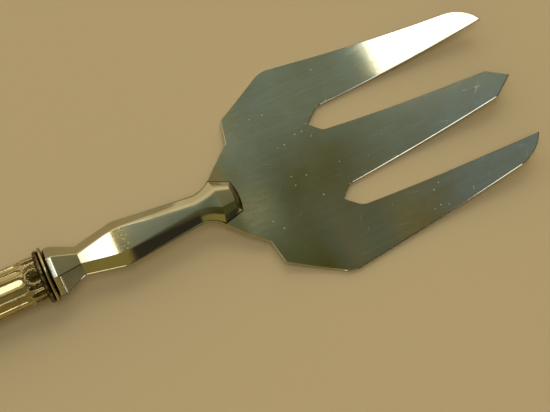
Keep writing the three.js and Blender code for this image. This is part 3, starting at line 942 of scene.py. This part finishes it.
def sideLeaf(along, across):
    # height and tarnish of the small hatched leaves on the other flutes
    level = max(0, along - leaf["broadAt"]) / (leaf["reach"] - leaf["broadAt"])
    out = math.hypot(across / leaf["sideHalf"], level)
    if out > leaf["sideEnd"]:
        return 0.0, 0.0
    pitch = math.pi / leaf["hatchPitch"]
    cross = abs(math.sin(pitch * (along + across)) * math.sin(pitch * (along - across)))
    inside = 1 if out < leaf["hatchEnd"] else 0
    rim = bump(out, leaf["sideRimAt"], leaf["rimSoft"])
    height = leaf["sideRim"] * rim + leaf["hatch"] * cross * inside
    dark = inside * (leaf["hatchDark"] - leaf["hatchClear"] * cross)
    return height, max(0, dark - leaf["sideRimClear"] * rim)


def leafRelief(along, angle, wide):
    across = math.radians(angle) * wide
    height, tarnish = broadLeaf(along, across)
    for step in range(handle["ribCount"] - 1):
        middle = handle["firstRib"] + (step + 0.5) * handle["ribPitch"]
        beside = math.radians(abs(angle) - middle) * wide
        more, darker = sideLeaf(along, beside)
        if height == 0:
            height, tarnish = more, darker
    return height, tarnish


def carveHandle(bm, recess):
    for vert in bm.verts:
        along = handleAt - vert.co.x
        if not -weld < along < fluteEnd:
            continue
        wide, tall = handleSize(along)
        up = (vert.co.z - axisHeight) / tall
        over = vert.co.y / wide
        angle = math.degrees(math.atan2(over, abs(up)))
        raised, dark = leafRelief(along, angle, wide)
        place = fluteShare(angle)
        if place is not None and along > fluteStart:
            toEnd = min(along - fluteStart, fluteEnd - along) / handle["runOut"]
            out = place * place + max(0, 1 - toEnd) ** 2
            wall = max(0, 1 - out ** (handle["fluteWall"] / 2))
            raised -= (handle["fluteDepth"] + handle["fluteFlat"] * (1 - place * place)) * wall
            if wall > 0:
                dark = max(dark, handle["fluteDark"] - handle["fluteClear"] * wall)
        vert.co.y += over * raised
        vert.co.z += up * raised
        vert[recess] = dark


def makeHandleHalf(name, side, node):
    bm = bmesh.new()
    recess = bm.verts.layers.float.new("recess")
    loftOvals(bm, handleOvals(), handle["sides"])
    carveHandle(bm, recess)
    cutAt = axisHeight + side * handle["seam"] / 2
    cut = bmesh.ops.bisect_plane(bm, geom=allOf(bm), dist=onCut, plane_co=(0, 0, cutAt),
                                 plane_no=(0, 0, side), clear_inner=True)
    seam = [part for part in cut["geom_cut"] if isinstance(part, bmesh.types.BMEdge)]
    bmesh.ops.holes_fill(bm, edges=seam, sides=0)
    finishPiece(bm, name, handleSilver, node, handle["sharpAngle"])


makeForkPlate()
makeShankCover()
makeMouthPlate()
makeCollarBead()
makeHandleHalf("handleUpperHalf", 1, "handle_upper_half")
makeHandleHalf("handleLowerHalf", -1, "handle_lower_half")

for nodeName, finish in (("tang", drawnBarFinish()), ("handle_filler", resinFinish())):
    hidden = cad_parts[nodeName]
    hidden.data.materials.clear()
    hidden.data.materials.append(finish)
print("hidden pieces finished")


# floor, lamps, world and camera
studio = {
    "floorHalf": 3.0,  # metres
    "floorColour": (0.66, 0.55, 0.375, 1),
    "floorRough": 0.9,
    "panels": {  # mirrored in the metal
        "farPanel": {"place": (0.035, 0.190, 0.5), "size": (0.132, 0.054), "aim": (0.035, 0.190, 0),
                     "watts": 0.080, "colour": (1.0, 0.94, 0.74)},
        "sidePanel": {"place": (-0.0795, 0.135, 0.5), "size": (0.083, 0.09), "aim": (-0.0795, 0.135, 0),
                      "watts": 0.074, "colour": (1.0, 0.97, 0.90)},
        "edgePanel": {"place": (0.1925, -0.47, 0.0695), "size": (0.045, 0.035), "aim": (0.1925, 0, 0.0695),
                      "watts": 0.012, "colour": (1.0, 0.97, 0.90)},
        "farEdgePanel": {"place": (0.1585, -0.47, 0.098), "size": (0.041, 0.019), "aim": (0.1585, 0, 0.098),
                         "watts": 0.0043, "colour": (1.0, 0.97, 0.90)},
        "lipPanel": {"place": (-0.126, -0.47, 0.0775), "size": (0.05, 0.02), "aim": (-0.126, 0, 0.0775),
                     "watts": 0.005, "colour": (1.0, 0.84, 0.50)},
    },
    "lamps": {  # light the floor
        "lamp": {"place": (0.62, 0.88, 1.60), "size": (0.80, 0.80), "aim": (0, 0, 0),
                 "watts": 3.8, "colour": (1.0, 0.93, 0.78)},
        "fill": {"place": (-0.05, -0.20, 1.20), "size": (0.60, 0.60), "aim": (0, 0, 0),
                 "watts": 3.1, "colour": (1.0, 0.93, 0.78)},
    },
}


def softPanel(name, spec):
    data = bpy.data.lights.new(name, "AREA")
    data.shape = "RECTANGLE"
    data.size, data.size_y = spec["size"]
    data.energy = spec["watts"]
    data.color = spec["colour"]
    lamp = bpy.data.objects.new(name, data)
    lamp.location = spec["place"]
    lamp.rotation_euler = (Vector(spec["aim"]) - lamp.location).to_track_quat("-Z", "Y").to_euler()
    lamp.visible_camera = False
    bpy.context.scene.collection.objects.link(lamp)
    return lamp


def makeFloor():
    bm = bmesh.new()
    bmesh.ops.create_grid(bm, x_segments=1, y_segments=1, size=studio["floorHalf"])
    mesh = bpy.data.meshes.new("floor")
    bm.to_mesh(mesh)
    bm.free()
    material, _, shader, _ = newFinish("paleFloor", 0.0)
    shader["Base Color"].default_value = studio["floorColour"]
    shader["Roughness"].default_value = studio["floorRough"]
    mesh.materials.append(material)
    floor = bpy.data.objects.new("floor", mesh)
    bpy.context.scene.collection.objects.link(floor)


sky = {  # what the metal mirrors, by direction
    "far": (0.24, 0.27, 0.20, 1),
    "nearCool": (0.215, 0.247, 0.243, 1),
    "nearOlive": (0.20, 0.162, 0.062, 1),
    "beyond": (0.36, 0.345, 0.21, 1),
    "beyondWarm": (0.31, 0.265, 0.135, 1),
    "nearWarm": (0.095, 0.088, 0.018, 1),
    "glow": (0.94, 0.80, 0.50, 1),
    "sideOlive": (0.30, 0.23, 0.06, 1),
    "sideDark": (0.036, 0.031, 0.02, 1),
    "sideRaised": (0.085, 0.084, 0.034, 1),
    "nearFloor": (0.58, 0.47, 0.27, 1),
    "farFloor": (0.76, 0.62, 0.36, 1),
    "background": (0.72, 0.66, 0.54, 1),
}
zones = {  # where each part of the room begins and is whole, by the direction's part along, across or up
    "nearWarm": (-0.15, 0.30),
    "far": (0.19, 0.30),
    "oliveBegin": (-0.05, 0.09),
    "oliveEnd": (0.18, 0.11),
    "oliveAcross": (0.24, 0.205),
    "headBegin": (0.230, 0.244),
    "headEnd": (0.268, 0.252),
    "beside": (0.285, 0.31),
    "behindBegin": (0.38, 0.56),
    "behindEnd": (0.67, 0.63),
    "farther": (0.61, 0.66),
    "fartherAcross": (0.258, 0.268),
    "glow": (0.38, 0.55),
    "sideDark": (0.08, 0.14),
    "raised": (0.55, 0.70),
    "raisedUp": (0.12, 0.32),
    "room": (-0.60, 0.15),
    "rearRise": (-0.35, -0.25, 0.22, 0.03),  # the last two are heights of the floor's far edge
    "frontRise": (0.42, 0.54, 0, 0.22),
    "frontFall": (0.58, 0.70, 0, 0.24),
    "ahead": (-0.2, 0.6),
    "aheadTop": 0.80,
    "floorFade": 0.5,
    "floorAcross": (-0.2, 0.3),
}


def inZones(tree, *parts):
    # how far a direction lies in all of the zones
    shares = [remap(tree, direction, *zones[name]) for direction, name in parts]
    share = shares[0]
    for other in shares[1:]:
        share = maths(tree, "MULTIPLY", share, other)
    return share


def makeWorld():
    world = bpy.data.worlds.new("studio")
    bpy.context.scene.world = world
    world.use_nodes = True
    tree = world.node_tree
    tree.nodes.clear()
    facing = addNode(tree, "TexCoord").outputs["Generated"]
    along, across, up = addNode(tree, "SeparateXYZ", {0: facing}).outputs
    near = blendColour(tree, inZones(tree, (along, "nearWarm")), sky["nearCool"], sky["nearWarm"])
    above = blendColour(tree, inZones(tree, (across, "far")), near, sky["far"])
    olive = inZones(tree, (along, "oliveBegin"), (along, "oliveEnd"), (across, "oliveAcross"))
    above = blendColour(tree, olive, above, sky["nearOlive"])
    besideHead = inZones(tree, (across, "headBegin"), (across, "headEnd"))
    beside = maths(tree, "MAXIMUM", besideHead, inZones(tree, (across, "beside")))
    behind = inZones(tree, (along, "behindBegin"), (along, "behindEnd"))
    above = blendColour(tree, maths(tree, "MULTIPLY", behind, beside), above, sky["beyond"])
    farther = inZones(tree, (along, "farther"), (across, "fartherAcross"))
    above = blendColour(tree, farther, above, sky["beyondWarm"])
    farWall = blendColour(tree, inZones(tree, (across, "glow")), above, sky["glow"])
    side = blendColour(tree, inZones(tree, (along, "sideDark")), sky["sideOlive"], sky["sideDark"])
    raised = inZones(tree, (along, "raised"), (up, "raisedUp"))
    side = blendColour(tree, raised, side, sky["sideRaised"])
    room = blendColour(tree, inZones(tree, (across, "room")), side, farWall)
    rise = maths(tree, "ADD", inZones(tree, (along, "rearRise")), inZones(tree, (along, "frontRise")))
    lowTop = maths(tree, "SUBTRACT", rise, inZones(tree, (along, "frontFall")))
    ahead = maths(tree, "SUBTRACT", across, along)
    floorTop = remap(tree, ahead, *zones["ahead"], lowTop, zones["aheadTop"])
    roomShare = remap(tree, up, scaled(tree, floorTop, zones["floorFade"]), floorTop)
    floor = blendColour(tree, inZones(tree, (across, "floorAcross")), sky["nearFloor"], sky["farFloor"])
    around = blendColour(tree, roomShare, floor, room)
    lit = addNode(tree, "Background", {"Color": around})
    pale = addNode(tree, "Background", {"Color": sky["background"]})
    seen = addNode(tree, "LightPath").outputs["Is Camera Ray"]
    both = addNode(tree, "MixShader", {0: seen, 1: lit.outputs[0], 2: pale.outputs[0]})
    output = tree.nodes.new("ShaderNodeOutputWorld")
    tree.links.new(both.outputs[0], output.inputs["Surface"])


camera = {
    "target": (48.269, -6.258, 1.5),
    "azimuth": 24.374,
    "elevation": 74.289,
    "distance": 429.658,
    "focalPixels": 1500.0,
    "imageWidth": 550.0,
    "sensor": 36.0,
    "nearest": 10.0,
}


def makeCamera():
    up = math.radians(camera["elevation"])
    around = math.radians(camera["azimuth"])
    level = math.cos(up)
    look = Vector((level * math.sin(around), level * math.cos(around), -math.sin(up)))
    data = bpy.data.cameras.new("photoView")
    data.sensor_fit = "HORIZONTAL"
    data.sensor_width = camera["sensor"]
    data.lens = camera["sensor"] * camera["focalPixels"] / camera["imageWidth"]
    data.clip_start = camera["nearest"] * mm
    viewer = bpy.data.objects.new("photoView", data)
    viewer.location = (Vector(camera["target"]) - look * camera["distance"]) * mm
    viewer.rotation_euler = look.to_track_quat("-Z", "Y").to_euler()
    bpy.context.scene.collection.objects.link(viewer)
    bpy.context.scene.camera = viewer


makeFloor()
for name, spec in studio["panels"].items():
    softPanel(name, spec).visible_diffuse = False
for name, spec in studio["lamps"].items():
    softPanel(name, spec).visible_glossy = False
makeWorld()
makeCamera()
bpy.context.scene.view_settings.view_transform = "Standard"
print("studio ready")

bpy.context.view_layer.update()
